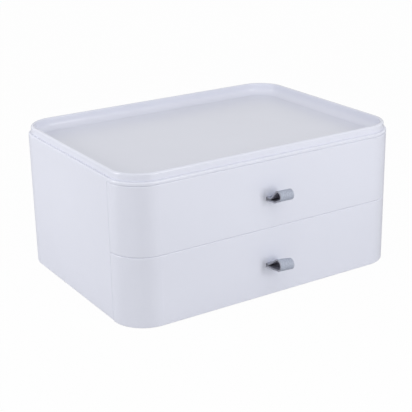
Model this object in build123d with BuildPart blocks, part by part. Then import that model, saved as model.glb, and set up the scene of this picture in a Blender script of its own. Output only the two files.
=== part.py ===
"""A desk organizer with two wrap-round drawers under a raised-rim tray.

Lengths are in millimetres. The origin is on the table, at the middle of the footprint of casing and pulls
together. +X runs to the right of someone facing the drawers, +Y to the back and +Z up.
"""

import os
from math import asin, atan2, cos, hypot, sin

from build123d import *

os.makedirs("parts", exist_ok=True)

# Casing
casing_width = 240.0
casing_depth = 176.0
corner_radius = 25.5
wall = 2.0
lip_height = 2.6
ledge_round = 1.2
underside_round = 0.7
edge_round = 0.4
frame_thickness = 2.0
foot_height = 2.0

# Drawer fronts
front_height = 51.2
front_wall = 2.5
front_drop = 0.5
base_cover = 1.6
front_straight = 0.3
front_round = 0.6
seam = 0.3
side_seam = 0.3
return_thickness = 1.6
front_gap = 5.0

# Tray
tray_wall = 2.6
tray_floor = 2.0
tray_depth = 9.4
rim_rise = 5.6
rim_outer_round = 1.5
rim_inner_round = 1.0
tray_fillet = 5.0
dish_clearance = 1.0
snap_length = 12.0
snap_height = 1.5
snap_catch = 1.0
snap_spacing_x = 80.0
snap_spacing_y = 70.0

# Base and shelf
plate_thickness = 2.0
plate_gap = 0.5
stop_rib_thickness = 2.0
stop_rib_width = 170.0

# Drawer boxes
box_wall = 2.0
box_floor = 2.0
box_fillet = 2.0
box_rim_round = 0.5
side_gap = 6.5
slide_gap = 0.3
drawer_travel = 120.0
stop_gap = 0.5
stop_catch = 2.0
lug_clearance = 0.8
lug_width = 20.0
lug_spacing = 140.0
guide_clearance = 0.4
guide_thickness = 2.0
guide_height = 6.0
guide_setback = 3.0

# Closing pads
pad_radius = 4.0
pad_thickness = 2.0
pad_gap = 0.3
pad_spacing = 120.0

# Feet
foot_radius = 6.0
foot_round = 0.5
foot_inset = 20.0
stem_radius = 2.0

# Screws
post_clearance = 1.0
post_setback = 10.0
post_screw = {"shank": 1.1, "length": 10.0, "head": 2.2, "head_height": 1.2, "crown": 0.5, "cross": 2.4}
front_screw = {"shank": 1.3, "length": 6.0, "head": 3.0, "head_height": 1.6, "crown": 0.6, "cross": 3.3}
clamp_screw = {"shank": 0.9, "length": 3.8, "head": 1.9, "head_height": 1.0, "crown": 0.4, "cross": 2.1}
front_screw_spacing_x = 150.0
front_screw_spacing_z = 24.0
boss_radius = 3.4
clamp_boss_radius = 2.4
clamp_screw_spacing = 18.0
recess_width = 0.5
recess_depth = 0.6

# Pulls
strap_width = 11.4
strap_thickness = 1.25
strap_fold = 4.5
pull_height = 22.9
clamp_height = 12.0
clamp_thickness = 1.2
clamp_corner = 2.0
pinch_radius = 0.15
slot_clearance = 0.15
slot_end_clearance = 0.4
# Where a loop opens, and the middle and outer radius of its nose, measured out from the front and up
# from the slot
upper_loop = {"pinch": 4.0, "out": 13.5, "rise": 5.15, "nose": 4.2}
lower_loop = {"pinch": 1.5, "out": 14.4, "rise": 4.0, "nose": 4.5}

# Clearance between pieces that are fixed to each other
fit_gap = 0.1

# Levels, from the table up
base_top = foot_height + plate_thickness
front_bottom = foot_height - front_drop
lower_bay_bottom = front_bottom + base_cover
pitch = front_height + seam
lip_bottom = lower_bay_bottom + 2 * pitch
casing_top = lip_bottom + lip_height
rim_top = casing_top + rim_rise
tray_floor_top = rim_top - tray_depth
tray_underside = tray_floor_top - tray_floor
shelf_top = base_top + pitch
shelf_underside = shelf_top - plate_thickness
head_room = stop_gap + stop_catch + lug_clearance
lowest_bay = min(shelf_underside - base_top, tray_underside - shelf_top)
box_height = lowest_bay - slide_gap - head_room
frame_top = lip_bottom + frame_thickness

# The dish's wall, drawn in from the casing's outline to clear the back of the upper front
dish_inset = front_wall + dish_clearance
frame_width = dish_inset - fit_gap
rim_inset = wall + fit_gap
recess_inset = rim_inset + tray_wall

# Places along X and Y
pull_reach = max(loop["out"] + loop["nose"] for loop in (upper_loop, lower_loop))
centre_y = pull_reach / 2
front_y = centre_y - casing_depth / 2
back_y = centre_y + casing_depth / 2
front_edge_y = front_y + corner_radius + front_straight
casing_edge_y = front_edge_y + side_seam
inner_x = casing_width / 2 - wall
box_half_width = inner_x - side_gap
box_corner = corner_radius - wall - side_gap
box_front_y = front_y + front_wall + front_gap
box_back_y = back_y - wall - pad_thickness - pad_gap
lug_front_y = box_back_y - box_wall
stop_rib_back_y = lug_front_y - drawer_travel - stop_gap
plate_inset = max(wall, front_wall) + plate_gap
post_x = casing_width / 2 - plate_inset - post_screw["head"]
post_radius = post_x - box_half_width - post_clearance
post_places = [
    (side * post_x, y)
    for side in (-1, 1)
    for y in (casing_edge_y + post_setback, back_y - corner_radius - post_setback)
]
foot_places = [
    (side * (casing_width / 2 - foot_inset), y)
    for side in (-1, 1)
    for y in (front_y + foot_inset, back_y - foot_inset)
]
front_screw_places = [
    (side * front_screw_spacing_x / 2, row * front_screw_spacing_z / 2)
    for side in (-1, 1)
    for row in (-1, 1)
]
clamp_screw_places = [(side * clamp_screw_spacing / 2, 0) for side in (-1, 1)]
strap_half = strap_thickness + pinch_radius
clamp_stand = strap_thickness + 2 * fit_gap
# Snap hooks along the side walls and the back wall, from the casing's middle
snap_reach = recess_inset - dish_inset + snap_catch
snap_x = casing_width / 2 - recess_inset + snap_reach / 2
snap_y = casing_depth / 2 - recess_inset + snap_reach / 2
side_snap_places = [(side * snap_x, end * snap_spacing_y / 2) for side in (-1, 1) for end in (-1, 1)]
back_snap_places = [(side * snap_spacing_x / 2, snap_y) for side in (-1, 1)]


def level(z):
    """The plane at height z, centred on the casing."""
    return Plane(origin=(0, centre_y, z))


def table(z):
    """The plane at height z, with its origin above the part's own."""
    return Plane(origin=(0, 0, z))


def facing(y, z):
    """An upright plane at y, centred at height z, that faces the drawers' user. Its x is the part's X."""
    return Plane(origin=(0, y, z), x_dir=(1, 0, 0), z_dir=(0, -1, 0))


def rearward(y, z):
    """As facing, but it faces the back."""
    return Plane(origin=(0, y, z), x_dir=(1, 0, 0), z_dir=(0, 1, 0))


def downward(z):
    """The plane at height z that faces the table. Its y is the part's Y."""
    return Plane(origin=(0, 0, z), x_dir=(-1, 0, 0), z_dir=(0, 0, -1))


def box_bottom(bay):
    """The underside of a drawer box. Bay 0 is the lower one, bay 1 the upper."""
    return base_top + bay * pitch + slide_gap


def box_top(bay):
    """The top of a drawer box's walls."""
    return box_bottom(bay) + box_height


def box_middle(bay):
    """Half the height of a drawer box."""
    return box_bottom(bay) + box_height / 2


def bay_bottom(bay):
    """The height at which a drawer's share of the casing's front begins."""
    return lower_bay_bottom + bay * pitch


def slot_z(bay):
    """The height of the slot that holds a pull."""
    return bay_bottom(bay) + pull_height


def outline(inset, mode=Mode.ADD):
    """The casing's rounded outline in plan, drawn in by inset."""
    return RectangleRounded(
        casing_width - 2 * inset, casing_depth - 2 * inset, corner_radius - inset, mode=mode
    )


def front_zone(back_edge, mode):
    """The part of the plan in front of back_edge."""
    reach = back_edge - front_y
    with Locations((0, -casing_depth / 2 + reach / 2)):
        Rectangle(casing_width, reach, mode=mode)


def box_outline(inset, mode=Mode.ADD):
    """A drawer box's rounded outline in plan, drawn in by inset."""
    with Locations((0, (box_front_y + box_back_y) / 2 - centre_y)):
        RectangleRounded(
            2 * (box_half_width - inset),
            box_back_y - box_front_y - 2 * inset,
            box_corner - inset,
            mode=mode,
        )


def stop_rib_plan():
    """The plan of a rib that the lugs of an opened drawer meet."""
    with Locations((0, stop_rib_back_y - stop_rib_thickness / 2)):
        Rectangle(stop_rib_width, stop_rib_thickness)


def outside_edges(builder):
    """The edges that lie on the casing's outer wall, by their middles."""
    tolerance = 0.01

    def outside(edge):
        middle = edge @ 0.5
        beyond_x = max(abs(middle.X) - (casing_width / 2 - corner_radius), 0)
        beyond_y = max(abs(middle.Y - centre_y) - (casing_depth / 2 - corner_radius), 0)
        return hypot(beyond_x, beyond_y) > corner_radius - tolerance

    return builder.edges().filter_by(outside)


def screws(head_plane, places, size):
    """A group of pan-head screws. Their heads stand out of head_plane and their shanks run back from it."""
    with BuildPart() as group:
        with BuildSketch(head_plane):
            with Locations(places):
                Circle(size["head"])
        extrude(amount=size["head_height"])
        crowns = group.faces().filter_by(head_plane).group_by(Axis(head_plane.origin, head_plane.z_dir))[-1]
        fillet(crowns.edges(), size["crown"])
        with BuildSketch(head_plane.offset(size["head_height"])):
            with Locations(places):
                Rectangle(size["cross"], recess_width)
                Rectangle(recess_width, size["cross"])
        extrude(amount=-recess_depth, mode=Mode.SUBTRACT)
        with BuildSketch(head_plane):
            with Locations(places):
                Circle(size["shank"])
        extrude(amount=-size["length"])
    return group.part


def casing_shell():
    """Left, back and right walls, top frame and front lip, in one moulding."""
    with BuildPart() as shell:
        with BuildSketch(level(foot_height)):
            outline(0)
            outline(wall, Mode.SUBTRACT)
        extrude(amount=casing_top - foot_height)
        with BuildSketch(level(lip_bottom)):
            outline(0)
            outline(frame_width, Mode.SUBTRACT)
        extrude(amount=frame_thickness)
        ledge = shell.faces().sort_by(Axis.Z)[-1]
        fillet(ledge.outer_wire().edges(), ledge_round)
        underside = shell.faces().sort_by(Axis.Z)[0]
        fillet(underside.outer_wire().edges(), underside_round)
        # The opening for the drawers, its outer edges broken
        with BuildSketch(level(0)):
            front_zone(casing_edge_y, Mode.ADD)
        extrude(amount=lip_bottom, mode=Mode.SUBTRACT)
        skin = outside_edges(shell)
        lip_edges = skin.filter_by_position(Axis.Z, lip_bottom, lip_bottom)
        jambs = skin.filter_by(Axis.Z).filter_by_position(Axis.Y, casing_edge_y, casing_edge_y)
        fillet(lip_edges + jambs, edge_round)
        # Screw posts in the side gaps
        with BuildSketch(table(base_top)):
            with Locations(post_places):
                Circle(post_radius)
            with Locations([(x * (post_x + inner_x) / 2 / post_x, y) for x, y in post_places]):
                Rectangle(inner_x - post_x, 2 * post_radius)
        extrude(amount=shelf_underside - base_top)
        # Ribs that keep each box in line
        guide_front_y = casing_edge_y + guide_setback
        guide_back_y = back_y - corner_radius
        guide_reach = side_gap - guide_clearance
        for bay in (0, 1):
            with BuildSketch(table(box_bottom(bay) + guide_height)):
                with Locations(
                    [
                        (side * (inner_x - guide_reach / 2), (guide_front_y + guide_back_y) / 2)
                        for side in (-1, 1)
                    ]
                ):
                    Rectangle(guide_reach, guide_back_y - guide_front_y)
            extrude(amount=guide_thickness)
        # A pilot hole in each end of each post
        for end, way in ((base_top, 1), (shelf_underside, -1)):
            with BuildSketch(table(end)):
                with Locations(post_places):
                    Circle(post_screw["shank"] + fit_gap)
            extrude(amount=way * post_screw["length"], mode=Mode.SUBTRACT)
    return shell.part


def top_tray():
    """The rim rests on the frame, the dish hangs inside it and hooks snap under the frame."""
    with BuildPart() as tray:
        with BuildSketch(level(frame_top)):
            outline(rim_inset)
        extrude(amount=rim_top - frame_top)
        with BuildSketch(level(tray_underside)):
            outline(dish_inset)
        extrude(amount=frame_top - tray_underside)
        with BuildSketch(level(tray_floor_top)):
            outline(recess_inset)
        extrude(amount=tray_depth, mode=Mode.SUBTRACT)
        fillet(tray.faces().sort_by(Axis.Z)[-1].outer_wire().edges(), rim_outer_round)
        fillet(tray.faces().sort_by(Axis.Z)[-1].inner_wires().edges(), rim_inner_round)
        floor = tray.faces().filter_by(Plane.XY).filter_by_position(Axis.Z, tray_floor_top, tray_floor_top)
        fillet(floor.edges(), tray_fillet)
        # The rib under the dish that stops the upper drawer
        with BuildSketch(table(tray_underside)):
            stop_rib_plan()
        extrude(amount=box_top(1) + stop_gap - tray_underside)
        # Hooks on the dish's wall, just under the frame
        with BuildSketch(level(lip_bottom - fit_gap)):
            with Locations(side_snap_places):
                Rectangle(snap_reach, snap_length)
            with Locations(back_snap_places):
                Rectangle(snap_length, snap_reach)
        extrude(amount=-snap_height)
    return tray.part


def base_panel():
    """The floor of the casing, with holes for its screws and the stems of the feet."""
    with BuildPart() as panel:
        with BuildSketch(level(foot_height)):
            outline(plate_inset)
        extrude(amount=plate_thickness)
        with BuildSketch(table(foot_height)):
            with Locations(post_places):
                Circle(post_screw["shank"] + fit_gap)
            with Locations(foot_places):
                Circle(stem_radius + fit_gap)
        extrude(amount=plate_thickness, mode=Mode.SUBTRACT)
    return panel.part


def middle_shelf():
    """The shelf between the drawers, with the rib that stops the lower drawer."""
    with BuildPart() as shelf:
        with BuildSketch(level(shelf_underside)):
            outline(plate_inset)
        extrude(amount=plate_thickness)
        with BuildSketch(table(shelf_underside)):
            with Locations(post_places):
                Circle(post_screw["shank"] + fit_gap)
        extrude(amount=plate_thickness, mode=Mode.SUBTRACT)
        with BuildSketch(table(shelf_underside)):
            stop_rib_plan()
        extrude(amount=box_top(0) + stop_gap - shelf_underside)
    return shelf.part


def rubber_feet():
    """Round feet, each with a stem in the base."""
    with BuildPart() as feet:
        with BuildSketch(table(0)):
            with Locations(foot_places):
                Circle(foot_radius)
        extrude(amount=foot_height)
        fillet(feet.faces().filter_by(Plane.XY).group_by(Axis.Z)[0].edges(), foot_round)
        with BuildSketch(table(foot_height)):
            with Locations(foot_places):
                Circle(stem_radius)
        extrude(amount=plate_thickness)
    return feet.part


def closing_pads():
    """Pads on the back wall that each closing box meets."""
    with BuildPart() as pads:
        for bay in (0, 1):
            with BuildSketch(facing(back_y - wall, box_middle(bay))):
                with Locations([(side * pad_spacing / 2, 0) for side in (-1, 1)]):
                    Circle(pad_radius)
            extrude(amount=pad_thickness)
    return pads.part


def drawer_box(bay):
    """The open box of one drawer, with lugs on its back wall that the stop rib catches."""
    with BuildPart() as box:
        with BuildSketch(level(box_bottom(bay))):
            box_outline(0)
        extrude(amount=box_height)
        with BuildSketch(level(box_bottom(bay) + box_floor)):
            box_outline(box_wall)
        extrude(amount=box_height - box_floor, mode=Mode.SUBTRACT)
        fillet(box.faces().sort_by(Axis.Z)[-1].edges(), box_rim_round)
        floor_top = box_bottom(bay) + box_floor
        floor = box.faces().filter_by(Plane.XY).filter_by_position(Axis.Z, floor_top, floor_top)
        fillet(floor.edges(), box_fillet)
        with BuildSketch(table(box_top(bay) - 2 * box_rim_round)):
            with Locations([(side * lug_spacing / 2, box_back_y - box_wall / 2) for side in (-1, 1)]):
                Rectangle(lug_width, box_wall)
        extrude(amount=2 * box_rim_round + stop_gap + stop_catch)
        with BuildSketch(facing(box_front_y, box_middle(bay))):
            with Locations(front_screw_places):
                Circle(front_screw["shank"] + fit_gap)
        extrude(amount=-box_wall, mode=Mode.SUBTRACT)
    return box.part


def drawer_front(bay):
    """The front panel that wraps round both corners, with returns that meet the box and bosses behind."""
    top = bay_bottom(bay) + front_height
    # The lower one also covers the edge of the base
    bottom = front_bottom if bay == 0 else bay_bottom(bay)
    with BuildPart() as front:
        with BuildSketch(level(bottom)):
            outline(0)
            outline(front_wall, Mode.SUBTRACT)
            front_zone(front_edge_y, Mode.INTERSECT)
        extrude(amount=top - bottom)
        skin = outside_edges(front)
        ends = skin.filter_by(Axis.Z).filter_by_position(Axis.Y, front_edge_y, front_edge_y)
        fillet(skin.filter_by(Axis.Z, reverse=True) + ends, front_round)
        # Returns that close the gap round the box
        for z in (box_bottom(bay), box_top(bay) - return_thickness):
            with BuildSketch(level(z)):
                outline(front_wall / 2)
                box_outline(-fit_gap, Mode.SUBTRACT)
                front_zone(front_edge_y, Mode.INTERSECT)
            extrude(amount=return_thickness)
        # Bosses for the screws that hold the box and the strap's clamp
        with BuildSketch(facing(front_y + front_wall / 2, box_middle(bay))):
            with Locations(front_screw_places):
                Circle(boss_radius)
        extrude(amount=-(front_wall / 2 + front_gap))
        with BuildSketch(facing(front_y + front_wall / 2, slot_z(bay))):
            with Locations(clamp_screw_places):
                Circle(clamp_boss_radius)
        extrude(amount=-(front_wall / 2 + clamp_stand))
        with BuildSketch(facing(box_front_y, box_middle(bay))):
            with Locations(front_screw_places):
                Circle(front_screw["shank"] + fit_gap)
        extrude(amount=front_screw["length"] - box_wall + fit_gap, mode=Mode.SUBTRACT)
        with BuildSketch(facing(front_y + front_wall + clamp_stand, slot_z(bay))):
            with Locations(clamp_screw_places):
                Circle(clamp_screw["shank"] + fit_gap)
        extrude(amount=clamp_screw["length"] - clamp_thickness + fit_gap, mode=Mode.SUBTRACT)
        # The slot for the strap
        with BuildSketch(facing(front_y, slot_z(bay))):
            Rectangle(strap_width + 2 * slot_end_clearance, 2 * (strap_half + slot_clearance))
        extrude(amount=-front_wall, mode=Mode.SUBTRACT)
    return front.part


def teardrop(loop, grow):
    """The side view of a loop's hollow, grown by grow: circles at pinch and nose, and their tangents."""
    out, rise = loop["out"], loop["rise"]
    small = pinch_radius + grow
    large = loop["nose"] - strap_thickness + grow
    run = out - loop["pinch"]
    lean = atan2(rise, run)
    spread = asin((large - small) / hypot(run, rise))
    over, under = lean + spread, lean - spread
    pinch_top = (loop["pinch"] - small * sin(over), small * cos(over))
    pinch_back = (loop["pinch"] - small * cos(lean), -small * sin(lean))
    pinch_low = (loop["pinch"] + small * sin(under), -small * cos(under))
    nose_top = (out - large * sin(over), rise + large * cos(over))
    nose_tip = (out + large * cos(lean), rise + large * sin(lean))
    nose_low = (out + large * sin(under), rise - large * cos(under))
    Line(pinch_top, nose_top)
    ThreePointArc(nose_top, nose_tip, nose_low)
    Line(nose_low, pinch_low)
    ThreePointArc(pinch_low, pinch_back, pinch_top)


def pull_strap(bay, loop):
    """A strap bent into a loop. Its two ends lie together in the slot and fold flat behind the front."""
    fold_front = front_wall + fit_gap
    side_view = Plane(origin=(0, front_y, slot_z(bay)), x_dir=(0, -1, 0), z_dir=(-1, 0, 0))
    with BuildPart() as strap:
        with BuildSketch(side_view):
            with BuildLine():
                teardrop(loop, strap_thickness)
            make_face()
            with Locations(((loop["pinch"] - fold_front) / 2, 0)):
                Rectangle(loop["pinch"] + fold_front, 2 * strap_half)
            with Locations((-fold_front - strap_thickness / 2, 0)):
                Rectangle(strap_thickness, 2 * strap_fold)
            with BuildLine():
                teardrop(loop, 0)
            make_face(mode=Mode.SUBTRACT)
        extrude(amount=strap_width / 2, both=True)
    return strap.part


def strap_clamp(bay):
    """The plate that presses the folded ends of a strap to the back of the front."""
    with BuildPart() as plate:
        with BuildSketch(facing(front_y + front_wall + clamp_stand, slot_z(bay))):
            RectangleRounded(clamp_screw_spacing + 2 * clamp_boss_radius, clamp_height, clamp_corner)
            with Locations(clamp_screw_places):
                Circle(clamp_screw["shank"] + fit_gap, mode=Mode.SUBTRACT)
        extrude(amount=-clamp_thickness)
    return plate.part


def export(part, name):
    """Labels a finished piece and writes it."""
    part.label = name
    export_step(part, f"parts/{name}.step")


export(casing_shell(), "casing_shell")
export(top_tray(), "top_tray")
export(base_panel(), "base_panel")
export(middle_shelf(), "middle_shelf")
export(rubber_feet(), "rubber_feet")
export(closing_pads(), "closing_pads")
export(screws(downward(foot_height), post_places, post_screw), "base_screws")
export(screws(table(shelf_top), post_places, post_screw), "shelf_screws")
for bay, row, loop in ((0, "lower", lower_loop), (1, "upper", upper_loop)):
    export(drawer_box(bay), f"{row}_drawer_box")
    export(drawer_front(bay), f"{row}_drawer_front")
    export(pull_strap(bay, loop), f"{row}_pull_strap")
    export(strap_clamp(bay), f"{row}_strap_clamp")
    front_heads = rearward(box_front_y + box_wall, box_middle(bay))
    export(screws(front_heads, front_screw_places, front_screw), f"{row}_front_screws")
    clamp_heads = rearward(front_y + front_wall + clamp_stand + clamp_thickness, slot_z(bay))
    export(screws(clamp_heads, clamp_screw_places, clamp_screw), f"{row}_clamp_screws")
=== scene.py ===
from math import acos, asin, atan2, cos, hypot, pi, radians, sin

import bpy
from mathutils import Matrix, Vector

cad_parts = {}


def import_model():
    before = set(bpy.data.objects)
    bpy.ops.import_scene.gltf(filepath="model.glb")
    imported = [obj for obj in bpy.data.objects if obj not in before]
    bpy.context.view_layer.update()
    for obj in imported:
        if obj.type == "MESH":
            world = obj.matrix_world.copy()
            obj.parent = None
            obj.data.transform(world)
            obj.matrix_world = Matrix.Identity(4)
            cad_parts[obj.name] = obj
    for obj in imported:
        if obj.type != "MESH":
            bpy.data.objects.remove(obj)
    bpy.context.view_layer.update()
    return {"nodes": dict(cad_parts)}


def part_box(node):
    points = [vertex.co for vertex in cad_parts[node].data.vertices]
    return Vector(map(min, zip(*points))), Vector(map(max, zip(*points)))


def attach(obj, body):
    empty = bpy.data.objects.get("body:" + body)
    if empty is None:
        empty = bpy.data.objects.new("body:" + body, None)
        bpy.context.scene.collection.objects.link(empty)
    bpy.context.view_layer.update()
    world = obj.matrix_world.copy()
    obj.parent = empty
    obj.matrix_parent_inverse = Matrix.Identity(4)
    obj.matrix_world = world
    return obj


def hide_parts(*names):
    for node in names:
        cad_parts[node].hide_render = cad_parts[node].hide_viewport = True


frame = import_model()

# The looks of a desk organizer with two drawers. Lengths are in metres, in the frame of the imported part:
# +X to the right of someone facing the drawers, +Y to the back and +Z up, with the origin on the table.

MM = 0.001

# Camera: where it looks, from which side, how far off, and how its view is turned
target = Vector((-19.03, -17.59, 56.7)) * MM
camera_azimuth = radians(-32.18)
camera_elevation = radians(20.04)
camera_roll = radians(-1.057)
camera_distance = 804.8 * MM
focal_length = 91.93
sensor_width = 36.0
nearest_seen = 0.01
farthest_seen = 50.0

# Pull straps
strap_thickness = 1.25 * MM
strap_fold = 4.5 * MM
strap_gap = 0.3 * MM
strap_edge_round = 0.3 * MM
strap_bend = 1.0 * MM
strap_step = 0.35 * MM
strap_points = 150
belly_points = 16
# Its section: turns in a rounded edge, cells along its sides, and where its lining, darkened with painted
# shade, and its cut edge begin
edge_turns = 3
across_cells = 10
through_cells = 3
edge_share = 0.6
# Each strap in side view, in millimetres, at its left and right end: how far out its two sides part,
# where the middle of its nose lies out from the front and up from the slot, and the radius of the nose.
# "sweep" is the radius with which its sides leave the pinch, and "belly" how far its lower side hangs down.
pulls = {
    "upper": {
        "left": {"pinch": 4.0, "out": 12.95, "rise": 5.4, "nose": 4.0, "sweep": 6.0, "belly": 0.9},
        "right": {"pinch": 4.0, "out": 13.6, "rise": 5.4, "nose": 3.95, "sweep": 6.0, "belly": 0.3},
    },
    "lower": {
        "left": {"pinch": 1.5, "out": 13.15, "rise": 4.0, "nose": 4.6, "sweep": 3.0, "belly": 0.3},
        "right": {"pinch": 1.5, "out": 14.6, "rise": 3.6, "nose": 4.2, "sweep": 3.0, "belly": 0.2},
    },
}

# Lips behind the seams over and under the upper drawer's front
corner_radius = 25.5 * MM
seam = 0.3 * MM
lip_setback = 0.2 * MM
lip_depth = 0.6 * MM
lip_play = 0.04 * MM
corner_turns = 24

# Plastics: their tones, the noise on them in cells per metre, and the heights that it stands for
white = (0.805, 0.82, 0.905)
white_shade = (0.79, 0.805, 0.89)
inner_white = (0.77, 0.785, 0.85)
inner_shade = (0.75, 0.755, 0.78)
clamp_grey = (0.30, 0.31, 0.33)
clamp_shade = (0.26, 0.27, 0.29)
cloud_scale = 14.0
polish_scale = 35.0
polish_spread = 0.03
swell_scale = 45.0
swell_height = 0.4 * MM
grain_scale = 600.0
grain_height = 0.03 * MM
plastic_ior = 1.52

# Rubber and steel, in the same way
rubber_grey = (0.50, 0.51, 0.53)
rubber_dust = (0.60, 0.61, 0.63)
dust_scale = 220.0
rubber_polish_scale = 500.0
rubber_grain_scale = 2500.0
rubber_grain_height = 0.05 * MM
zinc_blue = (0.58, 0.58, 0.60)
zinc_yellow = (0.68, 0.67, 0.65)
plating_scale = 350.0
steel_polish_scale = 900.0
turning_scale = 600.0
turning_stretch = (1.0, 1.0, 12.0)
turning_height = 0.03 * MM

# Strap: the two tones of its mottle outside, inside the loop, where a darker backing carries painted shade,
# and along the cut edges, pores and creases
strap_tones = {
    "outside": ((0.31, 0.34, 0.42), (0.52, 0.56, 0.65)),
    # The lining tones are partly a darker backing and partly painted shade inside the loop
    "lining_and_shade": ((0.21, 0.21, 0.26), (0.32, 0.32, 0.38)),
    "cut": ((0.35, 0.36, 0.41), (0.48, 0.49, 0.55)),
}
mottle_scale = 1300.0
pore_scale = 2200.0
pore_height = 0.12 * MM
crease_scale = 420.0
crease_height = 0.25 * MM

# Light and floor. The lamps' azimuth is 0 in front of the drawers, and they shine at a point in the object.
floor_reach = 8.0
floor_colour = (0.6, 0.6, 0.6)
floor_glow = 0.98
world_colour = (0.97, 0.975, 1.0)
world_strength = 0.54
lit_point = Vector((0.0, 0.0, 0.055))
tall = (0.16, 0.36)
square = (0.7, 0.7)
lamps = {
    "right_lamp": {"azimuth": 14.0, "elevation": 14.0, "distance": 0.75, "size": tall, "watts": 1.6},
    "left_lamp": {"azimuth": -103.0, "elevation": 14.0, "distance": 0.62, "size": tall, "watts": 1.27},
    "front_lamp": {"azimuth": -10.0, "elevation": 50.0, "distance": 0.9, "size": square, "watts": 1.1},
}

front_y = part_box("casing_shell")[0].y


def material(name, nodes):
    """A new node material, given to all slots of the named CAD nodes."""
    made = bpy.data.materials.new(name)
    made.use_nodes = True
    for node in nodes:
        data = frame["nodes"][node].data
        if not data.materials:
            data.materials.append(made)
        for i in range(len(data.materials)):
            data.materials[i] = made
    return made


class Shader:
    """Short calls for the nodes of one material."""

    def __init__(self, made):
        self.tree = made.node_tree
        self.surface = self.tree.nodes["Principled BSDF"]
        self.place = self.add("ShaderNodeTexCoord").outputs["Object"]

    def add(self, kind, **values):
        """A new node, with its settings or inputs of these names set."""
        node = self.tree.nodes.new(kind)
        for key, value in values.items():
            if hasattr(node, key):
                setattr(node, key, value)
            else:
                node.inputs[key].default_value = value
        return node

    def join(self, source, target):
        """Feeds a node's input."""
        self.tree.links.new(source, target)

    def set(self, name, source):
        """Feeds one input of the material's surface."""
        self.join(source, self.surface.inputs[name])

    def noise(self, scale, detail=2.0, roughness=0.5, stretch=(1, 1, 1)):
        """Noise over the object's own place. scale is in cells per metre."""
        mapping = self.add("ShaderNodeMapping")
        mapping.inputs["Scale"].default_value = [scale * s for s in stretch]
        self.join(self.place, mapping.inputs["Vector"])
        node = self.add("ShaderNodeTexNoise", Scale=1.0, Detail=detail, Roughness=roughness)
        self.join(mapping.outputs["Vector"], node.inputs["Vector"])
        return node.outputs["Fac"]

    def spread(self, value, low, high, source_low=0.3, source_high=0.7):
        """Maps the middle of a noise to a range."""
        node = self.add("ShaderNodeMapRange")
        node.inputs["From Min"].default_value = source_low
        node.inputs["From Max"].default_value = source_high
        node.inputs["To Min"].default_value = low
        node.inputs["To Max"].default_value = high
        self.join(value, node.inputs["Value"])
        return node.outputs["Result"]

    def blend(self, share, first, second):
        """Mixes two colours, each a value or a socket."""
        node = self.add("ShaderNodeMix", data_type="RGBA")
        self.join(share, node.inputs["Factor"])
        for key, colour in (("A", first), ("B", second)):
            socket = [s for s in node.inputs if s.name == key and s.type == "RGBA"][0]
            if isinstance(colour, (tuple, list)):
                socket.default_value = (*colour, 1.0)
            else:
                self.join(colour, socket)
        return [s for s in node.outputs if s.type == "RGBA"][0]

    def bump(self, height, strength, distance, base=None):
        """A normal tilted by the height, over another bump if there is one."""
        node = self.add("ShaderNodeBump", Strength=strength, Distance=distance)
        self.join(height, node.inputs["Height"])
        if base is not None:
            self.join(base, node.inputs["Normal"])
        return node.outputs["Normal"]


def moulded_plastic(name, nodes, colour, shade, roughness, grain):
    """Moulded plastic: faint clouds in its tone, an uneven polish and a fine grain."""
    made = material(name, nodes)
    shader = Shader(made)
    clouds = shader.spread(shader.noise(cloud_scale, detail=3.0), 0.0, 1.0)
    shader.set("Base Color", shader.blend(clouds, colour, shade))
    polish = shader.noise(polish_scale, detail=1.0)
    dullest, glossiest = roughness + polish_spread, roughness - polish_spread
    shader.set("Roughness", shader.spread(polish, glossiest, dullest, source_low=0.1, source_high=0.9))
    swell = shader.bump(shader.noise(swell_scale, detail=1.0), 0.05, swell_height)
    shader.set("Normal", shader.bump(shader.noise(grain_scale, detail=1.0), grain, grain_height, swell))
    shader.surface.inputs["IOR"].default_value = plastic_ior
    return made


def rubber(name, nodes):
    """Grey rubber with a fine, dull grain."""
    made = material(name, nodes)
    shader = Shader(made)
    dust = shader.spread(shader.noise(dust_scale, detail=5.0, roughness=0.65), 0.0, 1.0)
    shader.set("Base Color", shader.blend(dust, rubber_grey, rubber_dust))
    polish = shader.noise(rubber_polish_scale, detail=3.0)
    shader.set("Roughness", shader.spread(polish, 0.6, 0.75))
    grain = shader.noise(rubber_grain_scale, detail=3.0, roughness=0.6)
    shader.set("Normal", shader.bump(grain, 0.25, rubber_grain_height))


def screw_steel(name, nodes):
    """Zinc-plated steel with fine turning marks and a patchy plating."""
    made = material(name, nodes)
    shader = Shader(made)
    patches = shader.spread(shader.noise(plating_scale, detail=4.0, roughness=0.6), 0.0, 1.0)
    shader.set("Base Color", shader.blend(patches, zinc_blue, zinc_yellow))
    polish = shader.noise(steel_polish_scale, detail=3.0)
    shader.set("Roughness", shader.spread(polish, 0.25, 0.45))
    marks = shader.noise(turning_scale, stretch=turning_stretch)
    shader.set("Normal", shader.bump(marks, 0.12, turning_height))
    shader.surface.inputs["Metallic"].default_value = 1.0


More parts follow.
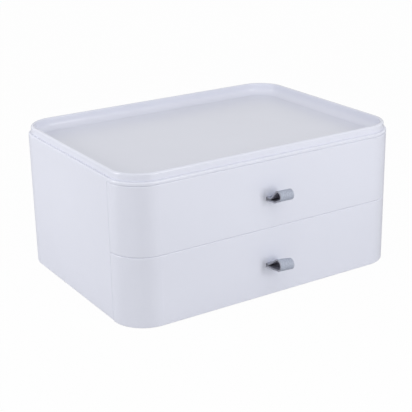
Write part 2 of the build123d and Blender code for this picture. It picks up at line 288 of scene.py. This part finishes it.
def strap_material():
    """A grey coated strap: mottled fine grain outside, darker inside the loop, partly as a darker backing
    and partly as painted shade, and along its cut edges.
    """
    made = material("strap_grain", [])
    shader = Shader(made)
    speckle = shader.noise(mottle_scale, detail=5.0, roughness=0.7)
    mottle = shader.spread(speckle, 0.0, 1.0, source_low=0.35, source_high=0.65)
    outside = shader.blend(mottle, *strap_tones["outside"])
    lining_and_shade = shader.blend(mottle, *strap_tones["lining_and_shade"])
    cut = shader.blend(mottle, *strap_tones["cut"])
    # The inside of the loop takes the lining tones, which carry painted shade
    inner = shader.add("ShaderNodeAttribute", attribute_name="lining_and_shade").outputs["Fac"]
    edge = shader.add("ShaderNodeAttribute", attribute_name="cut_edge").outputs["Fac"]
    faces = shader.blend(inner, outside, lining_and_shade)
    shader.set("Base Color", shader.blend(edge, faces, cut))
    shader.set("Roughness", shader.spread(mottle, 0.5, 0.68, source_low=0.0, source_high=1.0))
    pores = shader.bump(shader.noise(pore_scale, detail=3.0, roughness=0.6), 0.5, pore_height)
    creases = shader.noise(crease_scale, detail=3.0, roughness=0.6)
    shader.set("Normal", shader.bump(creases, 0.35, crease_height, pores))
    return made


def rounded_corner(before, corner, after, radius):
    """Points of the arc that rounds the corner of a path in a plane."""
    u = (Vector(before) - Vector(corner)).normalized()
    v = (Vector(after) - Vector(corner)).normalized()
    half = acos(max(-1.0, min(1.0, u.dot(v)))) / 2
    middle = Vector(corner) + (u + v).normalized() * (radius / sin(half))
    start = Vector(corner) + u * (radius / (sin(half) / cos(half)))
    end = Vector(corner) + v * (radius / (sin(half) / cos(half)))
    return arc(middle, start, end)


def arc(middle, start, end):
    """Points along the shorter arc about middle from start to end."""
    first = atan2(start[1] - middle[1], start[0] - middle[0])
    last = atan2(end[1] - middle[1], end[0] - middle[0])
    turn = (last - first + pi) % (2 * pi) - pi
    radius = hypot(start[0] - middle[0], start[1] - middle[1])
    count = max(2, int(abs(turn) * radius / strap_step))
    angles = [first + turn * i / count for i in range(count + 1)]
    return [(middle[0] + radius * cos(a), middle[1] + radius * sin(a)) for a in angles]


def strap_path(size, back):
    """The strap's middle line in side view, out from the front and up from the slot, evenly spaced."""
    half = (strap_thickness + strap_gap) / 2
    nose = size["nose"] * MM - strap_thickness / 2
    pinch, out, rise = size["pinch"] * MM, size["out"] * MM, size["rise"] * MM
    sweep = size["sweep"] * MM
    lean = atan2(rise, out - pinch)
    spread = asin((nose - half) / hypot(out - pinch, rise))
    over, under = lean + spread, lean - spread
    nose_top = (out - nose * sin(over), rise + nose * cos(over))
    nose_tip = (out + nose * cos(lean), rise + nose * sin(lean))
    nose_low = (out + nose * sin(under), rise - nose * cos(under))
    part_top = (pinch + half * (1 - cos(over)) / sin(over), half)
    part_low = (pinch - half * (1 - cos(under)) / sin(under), -half)
    path = [(back, strap_fold)]
    path += rounded_corner((back, strap_fold), (back, half), part_top, strap_bend)
    path += rounded_corner((back, half), part_top, nose_top, sweep)
    path += arc((out, rise), nose_top, nose_tip)
    path += arc((out, rise), nose_tip, nose_low)[1:]
    lower_bend = rounded_corner(nose_low, part_low, (back, -half), sweep)
    path += bellied(nose_low, lower_bend[0], size["belly"] * MM) + lower_bend
    path += rounded_corner(part_low, (back, -half), (back, -strap_fold), strap_bend)
    path += [(back, -strap_fold)]
    return resampled(path, strap_points)


def bellied(first, last, belly):
    """Points between two ends of the strap's lower side, which hangs down by the belly in the middle."""
    run = Vector(last) - Vector(first)
    down = Vector((-run.y, run.x)).normalized()
    if down.y > 0:
        down = -down
    shares = [k / belly_points for k in range(1, belly_points)]
    return [tuple(Vector(first) + run * s + down * belly * sin(pi * s) ** 2) for s in shares]


def resampled(path, count):
    """The same line with evenly spaced points."""
    lengths = [0.0]
    for a, b in zip(path, path[1:]):
        lengths.append(lengths[-1] + hypot(b[0] - a[0], b[1] - a[1]))
    even, i = [], 0
    for k in range(count + 1):
        reach = lengths[-1] * k / count
        while i < len(path) - 2 and lengths[i + 1] < reach:
            i += 1
        span = lengths[i + 1] - lengths[i]
        share = (reach - lengths[i]) / span if span else 0.0
        even.append(tuple(a + (b - a) * share for a, b in zip(path[i], path[i + 1])))
    return even


def between(first, last, share):
    """The point at a share of the way from first to last."""
    return Vector(first).lerp(Vector(last), share)


def strap_section(width):
    """The strap's section across its run, as (across, through) points, with rounded corners."""
    half_width, half = width / 2, strap_thickness / 2
    r = strap_edge_round
    points = []
    corners = ((1, 1), (-1, 1), (-1, -1), (1, -1))
    for index, (sx, sz) in enumerate(corners):
        start = index * pi / 2
        for k in range(edge_turns + 1):
            a = start + k * pi / (2 * edge_turns)
            points.append((sx * (half_width - r) + r * cos(a), sz * (half - r) + r * sin(a)))
        following = corners[(index + 1) % 4]
        flat = across_cells if following[1] == sz else through_cells
        nx, nz = following
        a = start + pi / 2
        first = points[-1]
        last = (nx * (half_width - r) + r * cos(a), nz * (half - r) + r * sin(a))
        for k in range(1, flat):
            points.append(tuple(p + (q - p) * k / flat for p, q in zip(first, last)))
    return points


def pull_strap(row):
    """The strap of one drawer, bent into a loop through the slot of its front."""
    node = f"{row}_pull_strap"
    low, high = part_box(node)
    slot_z = low.z + strap_fold
    back = front_y - high.y + strap_thickness / 2
    left = strap_path(pulls[row]["left"], back)
    right = strap_path(pulls[row]["right"], back)
    width = high.x - low.x
    section = strap_section(width)
    half = strap_thickness / 2
    vertices, lining_and_shade, cut = [], [], []
    for i in range(len(left)):
        before, after = max(i - 1, 0), min(i + 1, len(left) - 1)
        for x, through in section:
            share = x / width + 0.5
            run = between(left[after], right[after], share) - between(left[before], right[before], share)
            run.normalize()
            s, h = between(left[i], right[i], share)
            vertices.append((x, front_y - (s - run.y * through), slot_z + h + run.x * through))
            # Marks the inside of the loop, whose darker colour is partly painted shade
            lining_and_shade.append(1.0 if through < -half * edge_share else 0.0)
            cut.append(1.0 if abs(x) > width / 2 - strap_edge_round * edge_share else 0.0)
    count = len(section)
    faces = []
    for i in range(len(left) - 1):
        for k in range(count):
            a, b = i * count + k, i * count + (k + 1) % count
            faces.append((a, b, b + count, a + count))
    faces.append(tuple(range(count)))
    faces.append(tuple(reversed(range((len(left) - 1) * count, len(left) * count))))
    mesh = bpy.data.meshes.new(f"{row}_pull")
    mesh.from_pydata(vertices, [], faces)
    for name, values in (("lining_and_shade", lining_and_shade), ("cut_edge", cut)):
        mesh.attributes.new(name, "FLOAT", "POINT").data.foreach_set("value", values)
    mesh.polygons.foreach_set("use_smooth", [True] * len(mesh.polygons))
    mesh.update()
    piece = bpy.data.objects.new(f"{row}_pull", mesh)
    bpy.context.scene.collection.objects.link(piece)
    mesh.materials.append(strap_finish)
    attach(piece, f"{row}_drawer")
    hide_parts(node)


def front_line(setback):
    """The outline of the drawer fronts seen from above, set back from their face, from left to right."""
    low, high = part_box("upper_drawer_front")
    radius = corner_radius - setback
    side, end = high.x - setback, high.y
    centre_x, centre_y = high.x - corner_radius, low.y + corner_radius
    bend = [(pi / 2) * i / corner_turns for i in range(corner_turns + 1)]
    left = [(-centre_x - radius * cos(a), centre_y - radius * sin(a)) for a in bend]
    right = [(-x, y) for x, y in reversed(left)]
    return [(-side, end)] + left + right + [(side, end)]


def seam_lip(name, low_z, high_z):
    """A thin lip behind the seam of the fronts' edge, along the face and round both corners."""
    outer = front_line(lip_setback)
    inner = front_line(lip_setback + lip_depth)
    vertices = []
    for (x0, y0), (x1, y1) in zip(outer, inner):
        vertices += [(x0, y0, low_z), (x0, y0, high_z), (x1, y1, high_z), (x1, y1, low_z)]
    faces = []
    for i in range(len(outer) - 1):
        for k in range(4):
            a, b = i * 4 + k, i * 4 + (k + 1) % 4
            faces.append((a, a + 4, b + 4, b))
    last = (len(outer) - 1) * 4
    faces += [(0, 1, 2, 3), (last + 3, last + 2, last + 1, last)]
    mesh = bpy.data.meshes.new(name)
    mesh.from_pydata(vertices, [], faces)
    mesh.update()
    piece = bpy.data.objects.new(name, mesh)
    bpy.context.scene.collection.objects.link(piece)
    mesh.materials.append(front_gloss)
    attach(piece, "upper_drawer")


def floor():
    """A plain pale floor. The camera sees it white, less the object's shadow."""
    r = floor_reach
    mesh = bpy.data.meshes.new("floor")
    corners = [(-r, -r, 0), (r, -r, 0), (r, r, 0), (-r, r, 0)]
    mesh.from_pydata(corners, [], [(0, 1, 2, 3)])
    made = bpy.data.objects.new("floor", mesh)
    bpy.context.scene.collection.objects.link(made)
    paint = bpy.data.materials.new("floor_paint")
    paint.use_nodes = True
    tree = paint.node_tree
    tree.nodes.clear()
    output = tree.nodes.new("ShaderNodeOutputMaterial")
    matt = tree.nodes.new("ShaderNodeBsdfDiffuse")
    matt.inputs["Color"].default_value = (*floor_colour, 1.0)
    glow = tree.nodes.new("ShaderNodeEmission")
    glow.inputs["Strength"].default_value = 1.0
    seen = tree.nodes.new("ShaderNodeLightPath")
    share = tree.nodes.new("ShaderNodeMath")
    share.operation = "MULTIPLY"
    share.inputs[1].default_value = floor_glow
    tree.links.new(seen.outputs["Is Camera Ray"], share.inputs[0])
    mix = tree.nodes.new("ShaderNodeMixShader")
    tree.links.new(share.outputs[0], mix.inputs["Fac"])
    tree.links.new(matt.outputs[0], mix.inputs[1])
    tree.links.new(glow.outputs[0], mix.inputs[2])
    tree.links.new(mix.outputs[0], output.inputs["Surface"])
    mesh.materials.append(paint)


def world():
    """A soft even light from all sides, and a white background."""
    made = bpy.data.worlds.new("studio")
    bpy.context.scene.world = made
    made.use_nodes = True
    tree = made.node_tree
    tree.nodes.clear()
    output = tree.nodes.new("ShaderNodeOutputWorld")
    light = tree.nodes.new("ShaderNodeBackground")
    light.inputs["Color"].default_value = (*world_colour, 1.0)
    light.inputs["Strength"].default_value = world_strength
    backdrop = tree.nodes.new("ShaderNodeBackground")
    backdrop.inputs["Color"].default_value = (1.0, 1.0, 1.0, 1.0)
    seen = tree.nodes.new("ShaderNodeLightPath")
    share = seen.outputs["Is Camera Ray"]
    for kind in ("Is Glossy Ray", "Is Transmission Ray"):
        either = tree.nodes.new("ShaderNodeMath")
        either.operation = "MAXIMUM"
        tree.links.new(share, either.inputs[0])
        tree.links.new(seen.outputs[kind], either.inputs[1])
        share = either.outputs[0]
    mix = tree.nodes.new("ShaderNodeMixShader")
    tree.links.new(share, mix.inputs["Fac"])
    tree.links.new(light.outputs[0], mix.inputs[1])
    tree.links.new(backdrop.outputs[0], mix.inputs[2])
    tree.links.new(mix.outputs[0], output.inputs["Surface"])


def toward(azimuth, elevation):
    """The unit vector from the object to something seen at these angles. Azimuth 0 is in front of it."""
    return Vector((sin(azimuth) * cos(elevation), -cos(azimuth) * cos(elevation), sin(elevation)))


def lamp(name, azimuth, elevation, distance, size, watts):
    """A rectangular area lamp that shines at the object, with its angles in degrees."""
    direction = toward(radians(azimuth), radians(elevation))
    data = bpy.data.lights.new(name, "AREA")
    data.shape = "RECTANGLE"
    data.size, data.size_y = size
    data.energy = watts
    made = bpy.data.objects.new(name, data)
    made.visible_camera = False
    bpy.context.scene.collection.objects.link(made)
    turn = (-direction).to_track_quat("-Z", "Y").to_matrix().to_4x4()
    made.matrix_world = Matrix.Translation(lit_point + direction * distance) @ turn


def camera():
    """The photographed view."""
    roll = camera_roll
    back = toward(camera_azimuth, camera_elevation)
    right = Vector((cos(camera_azimuth), sin(camera_azimuth), 0.0))
    up = back.cross(right)
    turned_right = right * cos(roll) + up * sin(roll)
    turned_up = up * cos(roll) - right * sin(roll)
    place = Matrix.Translation(target + back * camera_distance)
    data = bpy.data.cameras.new("camera")
    data.lens = focal_length
    data.sensor_width = sensor_width
    data.clip_start, data.clip_end = nearest_seen, farthest_seen
    made = bpy.data.objects.new("camera", data)
    bpy.context.scene.collection.objects.link(made)
    made.matrix_world = place @ Matrix((turned_right, turned_up, back)).transposed().to_4x4()
    bpy.context.scene.camera = made


# Nodes of each finish
fronts = ["lower_drawer_front", "upper_drawer_front"]
drawer_boxes = ["lower_drawer_box", "upper_drawer_box"]
inner_panels = ["base_panel", "middle_shelf"]
clamps = ["lower_strap_clamp", "upper_strap_clamp"]
rubber_parts = ["rubber_feet", "closing_pads"]
screws = ["base_screws", "shelf_screws"]
screws += [f"{row}_{kind}_screws" for kind in ("front", "clamp") for row in ("lower", "upper")]

moulded_plastic("casing_gloss", ["casing_shell"], white, white_shade, roughness=0.3, grain=0.05)
moulded_plastic("tray_gloss", ["top_tray"], white, white_shade, roughness=0.24, grain=0.03)
front_gloss = moulded_plastic("front_gloss", fronts, white, white_shade, roughness=0.3, grain=0.05)
moulded_plastic("box_plastic", drawer_boxes, white, white_shade, roughness=0.42, grain=0.1)
moulded_plastic("inner_plastic", inner_panels, inner_white, inner_shade, roughness=0.5, grain=0.15)
moulded_plastic("clamp_plastic", clamps, clamp_grey, clamp_shade, roughness=0.55, grain=0.2)
rubber("foot_rubber", rubber_parts)
screw_steel("zinc_steel", screws)
strap_finish = strap_material()

for row in pulls:
    pull_strap(row)

lower_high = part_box("lower_drawer_front")[1]
upper_low, upper_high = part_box("upper_drawer_front")
seam_lip("upper_front_lower_lip", lower_high.z + lip_play, upper_low.z)
seam_lip("upper_front_top_lip", upper_high.z, upper_high.z + seam - lip_play)

floor()
world()
for name, values in lamps.items():
    lamp(name, **values)
camera()

scene = bpy.context.scene
scene.view_settings.view_transform = "Standard"
